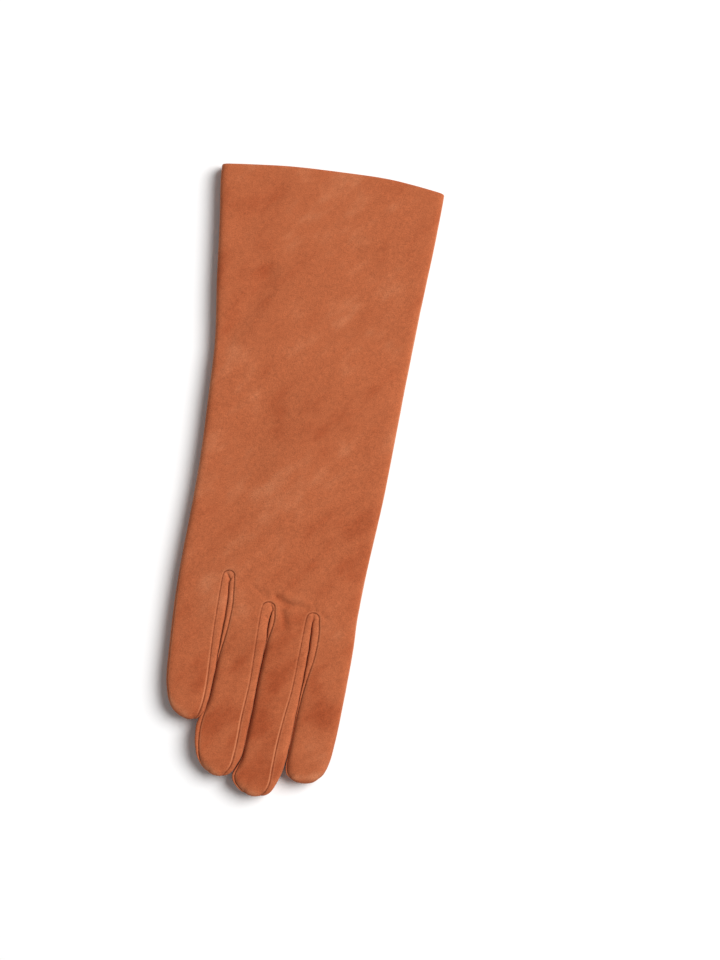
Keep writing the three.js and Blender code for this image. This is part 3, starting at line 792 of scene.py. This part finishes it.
# The palm is cut away up to a distance from the hole, and new rows of skin then close in on it
HOLE_BOTTOM, HOLE_TOP = -28, 51
HOLE_CUT = 1.8
HOLE_NEAR = 6
HOLE_ROWS = (1.6, 1.0, 0.5, 0.001)
PALM_BELOW = HEIGHT / 2 + 2


def next_row(bm, edges):
    """Extrudes a row of edges, and gives the new ones."""
    grown = bmesh.ops.extrude_edge_only(bm, edges=edges)["geom"]
    return [part for part in grown if isinstance(part, bmesh.types.BMEdge)]


def ends_of(edges):
    return {vert for edge in edges for vert in edge.verts}


def open_thumb_hole(bm):
    """Cuts the palm away inside the oval and brings the skin's edge to it."""
    inside = []
    for face in bm.faces:
        middle = face.calc_center_median()
        on_palm = middle.z < PALM_BELOW and face.normal.z < 0
        if on_palm and HOLE_BOTTOM < middle.y < HOLE_TOP and thumb_hole.away(middle) < HOLE_CUT:
            inside.append(face)
    bmesh.ops.delete(bm, geom=inside, context="FACES")
    edges = [edge for edge in bm.edges if edge.is_boundary and edge.verts[0].co.z < PALM_BELOW
             and thumb_hole.away(edge.verts[0].co) < HOLE_NEAR]
    for offset in HOLE_ROWS:
        if offset < HOLE_ROWS[0]:
            edges = next_row(bm, edges)
        for vert in ends_of(edges):
            nearest = thumb_hole.tree.find(flat(vert.co))[0]
            outwards = (flat(vert.co) - nearest).normalized()
            vert.co = on_surface(nearest + outwards * offset, "palm", outer_tree)


SKIN_JOIN = 0.003
bm = bmesh.new()
skin_sheet(bm, "back")
skin_sheet(bm, "palm")
bmesh.ops.remove_doubles(bm, verts=bm.verts, dist=SKIN_JOIN)

# The rows crowd where the outer edges meet the ends of the finger tips, and are evened out there
CORNER_REACH = 3.2
CORNER_ROUNDS = 10
for corner in (left_edge.at(1), right_edge.at(1)):
    near = [vert for vert in bm.verts if (vert.co - corner).xy.length < CORNER_REACH]
    for _ in range(CORNER_ROUNDS):
        bmesh.ops.smooth_vert(bm, verts=near, factor=0.5,
                              use_axis_x=True, use_axis_y=True, use_axis_z=True)
face_outwards(bm)
open_thumb_hole(bm)
face_outwards(bm)
press_relief(bm, 1.0, RUBBED_AND_LIT_TONE)

# The hem: the cuff's edge turned over inwards and laid along the inside
HEM_SEARCH = 120
base = bm.verts.layers.int.new("base")
wall = bm.verts.layers.deform.verify()
rim = [edge for edge in bm.edges if edge.is_boundary and edge.verts[0].co.y > HEM_SEARCH]
starts = []
for vert in ends_of(rim):
    neighbour = [edge.other_vert(vert) for edge in vert.link_edges if not edge.is_boundary][0]
    forwards = vert.co - neighbour.co
    forwards = (forwards - vert.normal * forwards.dot(vert.normal)).normalized()
    vert[base] = len(starts)
    starts.append((vert.co.copy(), vert.normal.copy(), forwards))
for step in range(1, HEM_FOLD_ROWS + HEM_ROWS + 1):
    rim = next_row(bm, rim)
    angle = math.pi * min(step / HEM_FOLD_ROWS, 1)
    back_in = HEM_DEPTH * max(step - HEM_FOLD_ROWS, 0) / HEM_ROWS
    for vert in ends_of(rim):
        place, out, forwards = starts[vert[base]]
        middle = place - out * HEM_FOLD
        turned = out * math.cos(angle) + forwards * math.sin(angle)
        vert.co = middle + turned * HEM_FOLD - forwards * back_in
        vert[wall][0] = 1.0
bm.verts.layers.int.remove(base)
face_outwards(bm)

# Suede: short soft nap that shows where a hand brushed it, in patches and smears, over a fine
# mottled grain. The rubbed edges are lighter, partly worn nap and partly painted light, and the seams
# darker with painted shade.


def feed(tree, socket, value):
    """Links a socket to another node's output, or sets its value."""
    if isinstance(value, bpy.types.NodeSocket):
        tree.links.new(value, socket)
    else:
        socket.default_value = value


def set_up(tree, node, **settings):
    """Sets a node up. Settings in capitals are its sockets, where _ stands for a space."""
    for name, value in settings.items():
        if name[0].isupper():
            feed(tree, node.inputs[name.replace("_", " ")], value)
        else:
            setattr(node, name, value)
    return node.outputs


def add_node(tree, kind, **settings):
    return set_up(tree, tree.nodes.new(kind), **settings)


def mix_colors(tree, factor, a, b):
    mix = tree.nodes.new("ShaderNodeMix")
    mix.data_type = "RGBA"
    for i, value in ((0, factor), (6, a), (7, b)):
        feed(tree, mix.inputs[i], value)
    return mix.outputs[2]


def new_material(name):
    material = bpy.data.materials.new(name)
    material.use_nodes = True
    return material, material.node_tree, material.node_tree.nodes["Principled BSDF"]


def rgb(red, green, blue):
    """A colour given as it shows on a screen, from 0 to 255."""
    parts = []
    for value in (red, green, blue):
        share = value / 255
        parts.append(share / 12.92 if share <= 0.04045 else ((share + 0.055) / 1.055) ** 2.4)
    return (*parts, 1.0)


# What the nap reads: colours, the tone that a piece gives it, and where its seams are
NAP_INPUTS = {
    "Base": rgb(184, 96, 58), "Brushed": rgb(203, 117, 76), "Against": rgb(166, 80, 46),
    # Worn: rubbed nap, with painted highlight and painted light; Seam: painted shade in the seams'
    # grooves
    "Worn": rgb(214, 140, 100), "Seam": rgb(112, 52, 30),
    "Tone": 0.0, "Seam Away": 5.0, "Seam Shade": 0.0, "Worn Edge": 0.0,
}
suede_nap = bpy.data.node_groups.new("suede_nap", "ShaderNodeTree")
for label, value in NAP_INPUTS.items():
    kind = "NodeSocketFloat" if isinstance(value, float) else "NodeSocketColor"
    socket = suede_nap.interface.new_socket(name=label, in_out="INPUT", socket_type=kind)
    socket.default_value = value
for label, kind in (("Color", "Color"), ("Height", "Float"), ("Roughness", "Float")):
    suede_nap.interface.new_socket(name=label, in_out="OUTPUT", socket_type="NodeSocket" + kind)
given = add_node(suede_nap, "NodeGroupInput")
coordinates = add_node(suede_nap, "ShaderNodeTexCoord")["Object"]

# A hand brushed the nap at a slant to the fingers, and its smears are longer that way
BRUSHED_WAY = (0, 0, math.radians(-36))
BRUSHED_LENGTH = (1.0, 2.2, 1.0)
slanted = add_node(suede_nap, "ShaderNodeMapping", vector_type="TEXTURE", Vector=coordinates,
                   Rotation=BRUSHED_WAY, Scale=BRUSHED_LENGTH)["Vector"]

# How fine each pattern is
PATCHES = 30
SMEARS = 120
MOTTLE = 520
FIBRES = 2100
SEAM_FLECKS = 700


def nap_noise(scale, detail, roughness, vector=coordinates):
    return add_node(suede_nap, "ShaderNodeTexNoise", Scale=scale, Detail=detail, Roughness=roughness,
                    Vector=vector)["Fac"]


def stretched(value, low, high, start=0.0, end=1.0, smooth=True):
    return add_node(suede_nap, "ShaderNodeMapRange", Value=value,
                    interpolation_type="SMOOTHSTEP" if smooth else "LINEAR",
                    From_Min=low, From_Max=high, To_Min=start, To_Max=end)["Result"]


def nap_math(operation, a, b):
    node = suede_nap.nodes.new("ShaderNodeMath")
    node.operation = operation
    feed(suede_nap, node.inputs[0], a)
    feed(suede_nap, node.inputs[1], b)
    return node.outputs[0]


def product(a, b):
    return nap_math("MULTIPLY", a, b)


def total(a, b):
    return nap_math("ADD", a, b)


# Clouds and smears where the nap lies one way or the other, around the tone that the piece gives
patches = stretched(nap_noise(PATCHES, 3, 0.5), 0.25, 0.75, -0.4, 0.4, False)
smears = stretched(nap_noise(SMEARS, 3, 0.5, slanted), 0.25, 0.75, -0.5, 0.5, False)
lie = total(total(product(given["Tone"], 0.8), patches), smears)
brushed = stretched(lie, 0.0, -1.0)
against = stretched(lie, 0.0, 1.0)
color = mix_colors(suede_nap, brushed, given["Base"], given["Brushed"])
color = mix_colors(suede_nap, against, color, given["Against"])

# Mottle and grain of the short fibres
mottle = nap_noise(MOTTLE, 3, 0.55)
grain = nap_noise(FIBRES, 2, 0.8)
fine = total(product(mottle, 0.25), product(grain, 0.75))
speck = add_node(suede_nap, "ShaderNodeHueSaturation", Color=color,
                 Value=stretched(fine, 0.3, 0.7, 0.68, 1.32, False))["Color"]

# Lighter where the outer folds and the edges beside the seams are rubbed: partly worn nap, partly
# painted highlight on the ridges beside the seams and painted light on shaded side walls and tip edges.
# Dark in the seams: painted shade in their grooves
rim = product(stretched(given["Seam Away"], 0.3, 0.6), stretched(given["Seam Away"], 1.2, 0.7))
ridge_wear_and_highlight = product(rim, given["Worn Edge"])
rubbed_and_lit = total(ridge_wear_and_highlight, stretched(given["Tone"], -0.7, -2.0))
worn = product(rubbed_and_lit, stretched(grain, 0.2, 0.6, 0.6, 1.0))
color = mix_colors(suede_nap, worn, speck, given["Worn"])
# The dark line along each seam: painted shade in its groove, broken into flecks
line = product(stretched(given["Seam Away"], 0.5, 0.1), given["Seam Shade"])
flecks = nap_noise(SEAM_FLECKS, 2, 0.6)
seam = product(line, stretched(flecks, 0.3, 0.65, 0.45, 0.95))
color = mix_colors(suede_nap, seam, color, given["Seam"])
add_node(suede_nap, "NodeGroupOutput", Color=color, Height=fine,
         Roughness=stretched(brushed, 0.0, 1.0, 0.98, 0.88))


def suede_material(name, base, brushed, against):
    material, tree, shader = new_material(name)

    def read(layer):
        return add_node(tree, "ShaderNodeAttribute", attribute_name=layer)["Fac"]

    nap = add_node(tree, "ShaderNodeGroup", node_tree=suede_nap, Base=base, Brushed=brushed,
                   Against=against, Tone=read("nap_and_shading_tone"), Seam_Away=read("seam_away"),
                   Seam_Shade=read("seam_shade"), Worn_Edge=read("worn_edge"))
    bump = add_node(tree, "ShaderNodeBump", Strength=0.5, Distance=0.0002, Height=nap["Height"])
    set_up(tree, shader, Base_Color=nap["Color"], Roughness=nap["Roughness"], Normal=bump["Normal"],
           Specular_IOR_Level=0.12, Sheen_Weight=0.2, Sheen_Roughness=0.45,
           Sheen_Tint=rgb(255, 200, 165))
    return material


suede = suede_material("orange_brown_suede", rgb(172, 93, 58), rgb(187, 113, 77), rgb(155, 74, 42))
trank = leather_piece("glove_trank", bm, suede)
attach(trank, "root")
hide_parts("trank")

# Side strips: a narrow V of the same suede between two fingers, sewn to the back and to the palm.
# It makes the facing sides of both fingers, and rolls down into the dark crack between them.
STRIP_COLUMNS = 12
STRIP_CROWDING = 1.8
STRIP_FULLNESS = 6.0
STRIP_JOIN = 0.01
TUCK = 0.15
CRACK_WANDER = 0.3
INNER_RIDGES = 0.3
STRIP_NODES = ["fourchette_pinky_ring", "fourchette_ring_middle", "fourchette_middle_index"]


def strip_half(seam_point, crack_point, middle):
    """Points from a seam to the middle of the finger's side, at the bottom of the crack."""
    room = (crack_point - flat(seam_point)).length
    tuck = TUCK * ease(0.4, 1.5, room) * min(1, abs(seam_point.z - middle.z))
    tucked = seam_point.z + (tuck if seam_point.z < middle.z else -tuck)
    points = []
    for i in range(STRIP_COLUMNS + 1):
        angle = math.pi / 2 * (i / STRIP_COLUMNS) ** STRIP_CROWDING
        out = math.sin(angle) ** (2 / STRIP_FULLNESS)
        up = math.cos(angle) ** (2 / STRIP_FULLNESS) if i < STRIP_COLUMNS else 0.0
        place = lerp(seam_point, crack_point, out) + (middle - crack_point) * (1 - up)
        points.append(Vector((place.x, place.y, lerp(middle.z, tucked, up))))
    return points


def strip_row(slit, back_place, palm_place, back_tree, palm_tree, back_crack, palm_crack):
    """One row of a strip, from the seam on the back to the seam on the palm."""
    middle = (back_crack + palm_crack) / 2
    room = min((back_place - back_crack).length, (palm_place - palm_crack).length)
    wander = CRACK_WANDER * noise.noise(Vector((0, middle.y / 5, slit * 9))) * ease(0.6, 2.5, room)
    palm, back = heights(middle)
    middle = Vector((middle.x + wander, middle.y, lerp(palm, back, FOLD_LEVEL)))
    shift = Vector((wander, 0, 0))
    upper = strip_half(on_surface(back_place, "back", back_tree), back_crack + shift, middle)
    lower = strip_half(on_surface(palm_place, "palm", palm_tree), palm_crack + shift, middle)
    return upper + lower[-2::-1]


def strip_rows(slit):
    """The rows of a strip, up its left leg, round the end of the slit and down its right leg."""
    back, palm = SLITS[slit]["back"], SLITS[slit]["palm"]
    legs = []
    for side, finger in (("left", slit), ("right", slit + 1)):
        seam, crack = side + "_seam", side + "_crack"
        trees = finger_trees["back"][finger], finger_trees["palm"][finger]
        legs.append([strip_row(slit, back[seam].at(along), palm[seam].at(along), *trees,
                               back[crack].at(along), palm[crack].at(along)) for along in alongs])
    top = []
    for i in range(1, SLIT_COLUMNS):
        ends = arc_point(back, i / SLIT_COLUMNS), arc_point(palm, i / SLIT_COLUMNS)
        top.append(strip_row(slit, *ends, outer_tree, outer_tree,
                             back["left_crack"].at(0), palm["left_crack"].at(0)))
    return legs[0][::-1] + top + legs[1]


# The strips' colours are a lighter copy of the suede's: painted light, as the strips face the light at
# another angle than the back
strip_suede = suede_material("strip_suede", rgb(180, 99, 63), rgb(194, 118, 82), rgb(164, 82, 49))
for slit, node in enumerate(STRIP_NODES):
    bm = bmesh.new()
    lay_grid(bm, strip_rows(slit)[::-1])
    bmesh.ops.remove_doubles(bm, verts=bm.verts, dist=STRIP_JOIN)
    face_outwards(bm)
    press_relief(bm, INNER_RIDGES)
    strip = leather_piece("glove_" + node, bm, strip_suede)
    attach(strip, "root")
    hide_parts(node)

# Thumb: one piece of the same suede, sewn into the oval hole in the palm. It is folded under the
# palm, so that its base lies doubled along a crease and its free end lies flat below the fingers.
CREASE = [
    (33.6, 42.5), (33.4, 37.7), (28.2, 28.7), (22, 17.3), (15.7, 5.9), (10.4, -5), (6.4, -13),
    (1.4, -26.4), (-2.4, -36), (-6.1, -46), (-6.6, -54), (-4.9, -60), (-1.6, -64), (3, -66.1),
]
THUMB_RIGHT = [
    (34, 45.4), (38.6, 42), (42.6, 36), (45.2, 28.6), (47, 19), (47.9, 7), (47.9, -5), (44.9, -16),
    (39, -26.4), (33.2, -36), (26.6, -46), (20.3, -54), (15.2, -60), (11.4, -64), (7, -66.1),
]
THUMB_ROWS = 120
THUMB_CROWDING = 0.6
THUMB_TIP = -66.0
THUMB_HEIGHT = 3.6
THUMB_MIDDLE = 1.8
FOLD_REACH = 2.8
TIP_ROUND = 6.0
TOP_ROUND = 7.0
ROUND_FULLNESS = 2.3
LEAST_AWAY = 0.03
# Columns of each stretch of a row: web, crease, lower side, right fold, upper side
THUMB_COLUMNS = (10, 10, 24, 10, 8)

crease_path, thumb_right_path = Path(CREASE), Path(THUMB_RIGHT)

# The thumb's edge follows the hole, down its left and its right from the top
hole_line = thumb_hole.line[:-1]
highest = max(range(len(hole_line)), key=lambda i: hole_line[i].y)
hole_line = hole_line[highest:] + hole_line[:highest]
lowest = min(range(len(hole_line)), key=lambda i: hole_line[i].y)
hole_left_path = Path(hole_line[:lowest + 1])
hole_right_path = Path(hole_line[:1] + hole_line[:lowest - 1:-1])
thumb_top = hole_line[0].y - 0.02
hole_end, hole_middle = hole_line[lowest].y, hole_line[lowest].x


def thumb_row(y):
    """Points across the thumb piece at one y, from the left of the hole round below to its right."""
    left, right = crease_path.at_y(y).x, thumb_right_path.at_y(y).x
    if y > hole_end:
        start, end = hole_left_path.at_y(y).x, hole_right_path.at_y(y).x
    else:
        start = end = lerp((left + right) / 2, hole_middle, ease(hole_end - 12, hole_end, y))
    seam_z = lerp(THUMB_HEIGHT, PALM_LIFT, ease(hole_end - 6, hole_end, y))
    at_hole = ease(hole_end, hole_end + 4, y)
    start_z, end_z = (lerp(seam_z, on_surface(Vector((x, y, 0)), "palm", outer_tree).z, at_hole)
                      for x in (start, end))
    reach = min(FOLD_REACH, 0.3 * max(right - left, 0.1))
    web = ease(-14, 2, y)
    valley = (left + reach, seam_z - 0.6 - 0.5 * web)
    corners = [
        [(start, start_z), (lerp(start, left, 0.6), seam_z - 0.5 - 0.2 * web), valley],
        [valley, (left - 0.5 * reach, 1.7), (left + reach, 0.0)],
        [(left + reach, 0.0), ((left + right) / 2, 0.0), (right - reach, 0.0)],
        [(right - reach, 0.0), (right + 0.5 * reach, 1.8), (right - reach, seam_z - 0.3)],
        [(right - reach, seam_z - 0.3), (lerp(right, end, 0.5), seam_z), (end, end_z)],
    ]
    tip = round_rise(y - THUMB_TIP + LEAST_AWAY, TIP_ROUND, ROUND_FULLNESS)
    top = round_rise(thumb_top - y + LEAST_AWAY, TOP_ROUND, ROUND_FULLNESS)
    row = []
    for (a, b, c), count in zip(corners, THUMB_COLUMNS):
        for i in range(count):
            share = i / count
            x = lerp(lerp(a[0], b[0], share), lerp(b[0], c[0], share), share)
            z = lerp(lerp(a[1], b[1], share), lerp(b[1], c[1], share), share)
            row.append(Vector((x, y, lerp(start_z, lerp(THUMB_MIDDLE, z, tip), top))))
    row.append(Vector((end, y, lerp(end_z, lerp(THUMB_MIDDLE, end_z, tip), top))))
    return row


bm = bmesh.new()
rows = []
for i in range(THUMB_ROWS + 1):
    share = 0.5 - 0.5 * math.cos(math.pi * i / THUMB_ROWS)
    rows.append(thumb_row(lerp(thumb_top, THUMB_TIP, lerp(i / THUMB_ROWS, share, THUMB_CROWDING))))
lay_grid(bm, rows)
bmesh.ops.remove_doubles(bm, verts=bm.verts, dist=STRIP_JOIN)
face_outwards(bm, -1)
press_relief(bm, INNER_RIDGES)
thumb = leather_piece("glove_thumb", bm, suede)
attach(thumb, "root")
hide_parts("thumb")

# Stitching: short stitches of fine thread across the seams, pulled tight into the groove.
STITCH_PITCH = 1.65
STITCH_LENGTH = 0.5
STITCH_RADIUS = 0.12
STITCH_DEPTH = 0.28
LEAST_STRENGTH = 0.6

thread, tree, shader = new_material("brown_thread")
twist = add_node(tree, "ShaderNodeTexNoise", Scale=2500, Detail=2,
                 Vector=add_node(tree, "ShaderNodeTexCoord")["Object"])["Fac"]
set_up(tree, shader, Base_Color=mix_colors(tree, twist, rgb(104, 50, 30), rgb(156, 84, 52)),
       Roughness=0.8, Specular_IOR_Level=0.2)

bm = bmesh.new()
sewn = [(marks, -1 if number % 2 else 1) for number, marks in enumerate(slit_seams)]
sewn.append((thumb_seam, -1))
for marks, side_up in sewn:
    walked, next_stitch = 0.0, STITCH_PITCH / 2
    for (a, strength, _), (b, _, _) in zip(marks, marks[1:]):
        stretch = (b - a).length
        while stretch > 0 and walked + stretch >= next_stitch:
            place = a.lerp(b, (next_stitch - walked) / stretch)
            along = (b - a).normalized()
            up = Vector((0, 0, side_up))
            across = along.cross(up)
            if across.length > 0.3 and strength > LEAST_STRENGTH:
                across.normalize()
                up = across.cross(along).normalized() * side_up
                up = up if up.z * side_up > 0 else -up
                facing = Matrix((across, along, up)).transposed().to_4x4()
                shape = Matrix.Diagonal((STITCH_LENGTH / 2, STITCH_RADIUS, STITCH_RADIUS, 1))
                sunk = Matrix.Translation(place - up * STITCH_DEPTH)
                bmesh.ops.create_icosphere(bm, subdivisions=1, radius=1, matrix=sunk @ facing @ shape)
            next_stitch += STITCH_PITCH
        walked += stretch
stitching = mesh_object("glove_stitching", bm, thread)
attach(stitching, "root")

# Floor, light and camera: a white sweep, one large soft light from the upper right of the picture
# and an even fill from all round, seen from straight above. The floor's measures are in
# millimetres, the others in metres.
FLOOR_REACH = 4000
FLOOR_DROP = 0.1
FILL_STRENGTH = 0.22
KEY_SIZE = 2.6
KEY_ENERGY = 184
KEY_PLACE = (1.9, 1.24, 2.9)
PICTURE_TURN = math.radians(10.5)
VIEW_POINT = Vector((0.03696, 0.00672, 0.0064))
VIEW_HEIGHT = 0.4416
LENS = 100
SENSOR = 36

floor_material, tree, shader = new_material("white_floor")
set_up(tree, shader, Base_Color=(0.92, 0.92, 0.92, 1), Roughness=0.9)
bm = bmesh.new()
bmesh.ops.create_grid(bm, x_segments=8, y_segments=8, size=FLOOR_REACH)
bmesh.ops.translate(bm, vec=(0, 0, -FLOOR_DROP), verts=bm.verts)
floor = mesh_object("floor", bm, floor_material)

world = bpy.data.worlds.new("fill")
world.use_nodes = True
fill = world.node_tree.nodes["Background"].inputs
fill["Color"].default_value = (1, 1, 1, 1)
fill["Strength"].default_value = FILL_STRENGTH
bpy.context.scene.world = world
bpy.context.scene.view_settings.view_transform = "Standard"

key = bpy.data.lights.new("key", "AREA")
key.shape = "DISK"
key.size = KEY_SIZE
key.energy = KEY_ENERGY
key_light = add_object("key", key)
key_light.location = KEY_PLACE
key_light.rotation_euler = (-Vector(KEY_PLACE)).to_track_quat("-Z", "Y").to_euler()

lens = bpy.data.cameras.new("camera")
lens.sensor_fit = "VERTICAL"
lens.sensor_height = SENSOR
lens.lens = LENS
lens.clip_start = 0.01
camera = add_object("camera", lens)
camera.location = VIEW_POINT + Vector((0, 0, VIEW_HEIGHT * LENS / SENSOR))
camera.rotation_euler = (0, 0, PICTURE_TURN)
bpy.context.scene.camera = camera
